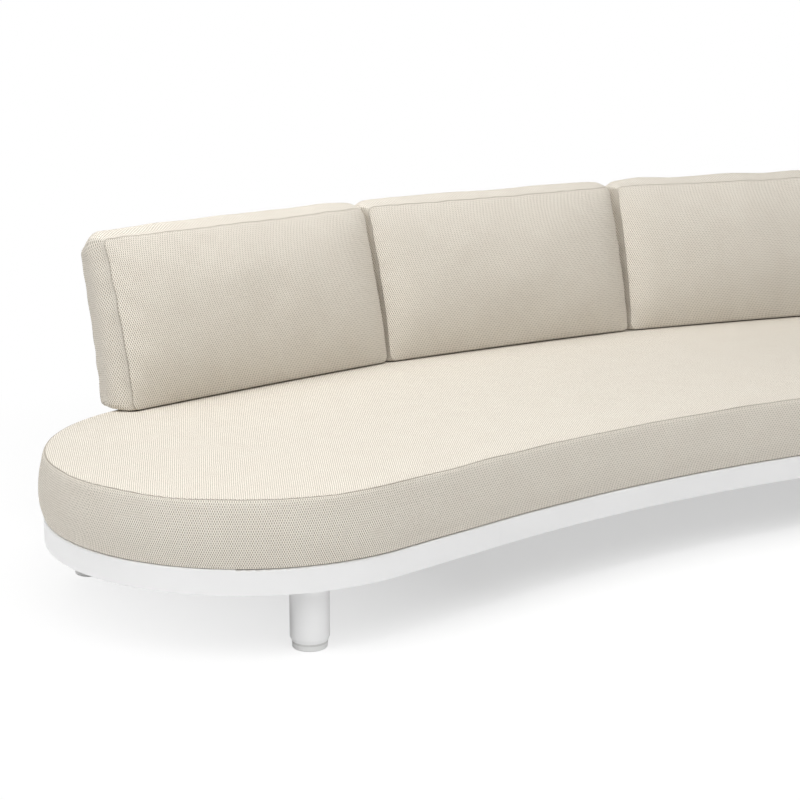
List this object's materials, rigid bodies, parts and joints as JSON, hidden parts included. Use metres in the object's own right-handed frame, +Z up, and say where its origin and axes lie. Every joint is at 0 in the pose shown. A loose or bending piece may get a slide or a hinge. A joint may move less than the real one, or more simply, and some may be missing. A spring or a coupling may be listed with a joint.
{
  "type": "curved outdoor sofa",
  "caption": "Curved outdoor sofa: bent white metal rim on round legs, one thick kidney-shaped seat cushion and boxed back cushions that lean on hidden plug-in supports.",
  "frame": {"origin": "centre of the bounding box, on the floor", "axes": "+X along the sofa to the sitter's left, front towards -Y, +Z up"},
  "size_m": [3.3518, 1.2932, 0.807],
  "materials": {
    "white_powder_coat": "satin white powder coat",
    "grey_powder_coat": "matt light grey powder coat, hidden under the cushion",
    "stainless_steel": "plain stainless steel",
    "plug_plastic": "matt light grey moulded plastic",
    "glide_metal": "light grey powder-coated steel",
    "cover_weave": "cream outdoor weave with a small darker pattern",
    "foam": "quick-dry reticulated foam"
  },
  "bodies": {
    "frame": {"rim_front": "white_powder_coat", "rim_rear": "white_powder_coat", "rim_run_left": "white_powder_coat", "rim_run_right": "white_powder_coat", "rim_end_left": "white_powder_coat", "rim_end_right": "white_powder_coat", "beam_1": "grey_powder_coat", "beam_2": "grey_powder_coat", "beam_3": "grey_powder_coat", "beam_4": "grey_powder_coat", "beam_5": "grey_powder_coat", "end_beam_left": "grey_powder_coat", "end_beam_right": "grey_powder_coat", "deck_1": "grey_powder_coat", "deck_2": "grey_powder_coat", "deck_3": "grey_powder_coat", "deck_4": "grey_powder_coat", "deck_5": "grey_powder_coat", "deck_6": "grey_powder_coat", "deck_screws": "stainless_steel", "leg_front_left": "white_powder_coat", "leg_front_right": "white_powder_coat", "leg_rear_left": "white_powder_coat", "leg_rear_right": "white_powder_coat", "leg_middle": "white_powder_coat", "leg_rear_middle": "white_powder_coat", "leg_plugs": "plug_plastic", "leg_bolts": "stainless_steel", "socket_1": "white_powder_coat", "socket_2": "white_powder_coat", "socket_3": "white_powder_coat", "socket_4": "white_powder_coat", "socket_5": "white_powder_coat", "socket_6": "white_powder_coat", "socket_bolts": "stainless_steel", "seat_cover": "cover_weave", "seat_foam": "foam"},
    "glide_front_left": {"glide_front_left": "glide_metal"},
    "glide_front_right": {"glide_front_right": "glide_metal"},
    "glide_rear_left": {"glide_rear_left": "glide_metal"},
    "glide_rear_right": {"glide_rear_right": "glide_metal"},
    "glide_middle": {"glide_middle": "glide_metal"},
    "glide_rear_middle": {"glide_rear_middle": "glide_metal"},
    "back_support_left": {"upright_1": "white_powder_coat", "upright_2": "white_powder_coat", "back_panel_left": "white_powder_coat"},
    "back_cushion_left": {"back_cover_left": "cover_weave", "back_foam_left": "foam"},
    "back_support_middle": {"upright_3": "white_powder_coat", "upright_4": "white_powder_coat", "back_panel_middle": "white_powder_coat"},
    "back_cushion_middle": {"back_cover_middle": "cover_weave", "back_foam_middle": "foam"},
    "back_support_right": {"upright_5": "white_powder_coat", "upright_6": "white_powder_coat", "back_panel_right": "white_powder_coat"},
    "back_cushion_right": {"back_cover_right": "cover_weave", "back_foam_right": "foam"}
  },
  "joints": [
    {"name": "glide_front_left_height", "type": "slide", "parent": "frame", "child": "glide_front_left", "axis": [0, 0, -1], "range_m": [0, 0.01]},
    {"name": "glide_front_right_height", "type": "slide", "parent": "frame", "child": "glide_front_right", "axis": [0, 0, -1], "range_m": [0, 0.01]},
    {"name": "glide_rear_left_height", "type": "slide", "parent": "frame", "child": "glide_rear_left", "axis": [0, 0, -1], "range_m": [0, 0.01]},
    {"name": "glide_rear_right_height", "type": "slide", "parent": "frame", "child": "glide_rear_right", "axis": [0, 0, -1], "range_m": [0, 0.01]},
    {"name": "glide_middle_height", "type": "slide", "parent": "frame", "child": "glide_middle", "axis": [0, 0, -1], "range_m": [0, 0.01]},
    {"name": "glide_rear_middle_height", "type": "slide", "parent": "frame", "child": "glide_rear_middle", "axis": [0, 0, -1], "range_m": [0, 0.01]},
    {"name": "back_support_left_lift", "type": "slide", "parent": "frame", "child": "back_support_left", "axis": [0, 0, 1], "range_m": [0, 0.05]},
    {"name": "back_cushion_left_lift", "type": "slide", "parent": "back_support_left", "child": "back_cushion_left", "axis": [-0.0425, 0.2295, 0.9724], "range_m": [0, 0.3]},
    {"name": "back_support_middle_lift", "type": "slide", "parent": "frame", "child": "back_support_middle", "axis": [0, 0, 1], "range_m": [0, 0.05]},
    {"name": "back_cushion_middle_lift", "type": "slide", "parent": "back_support_middle", "child": "back_cushion_middle", "axis": [0, 0.2334, 0.9724], "range_m": [0, 0.3]},
    {"name": "back_support_right_lift", "type": "slide", "parent": "frame", "child": "back_support_right", "axis": [0, 0, 1], "range_m": [0, 0.05]},
    {"name": "back_cushion_right_lift", "type": "slide", "parent": "back_support_right", "child": "back_cushion_right", "axis": [0.0425, 0.2295, 0.9724], "range_m": [0, 0.3]}
  ]
}
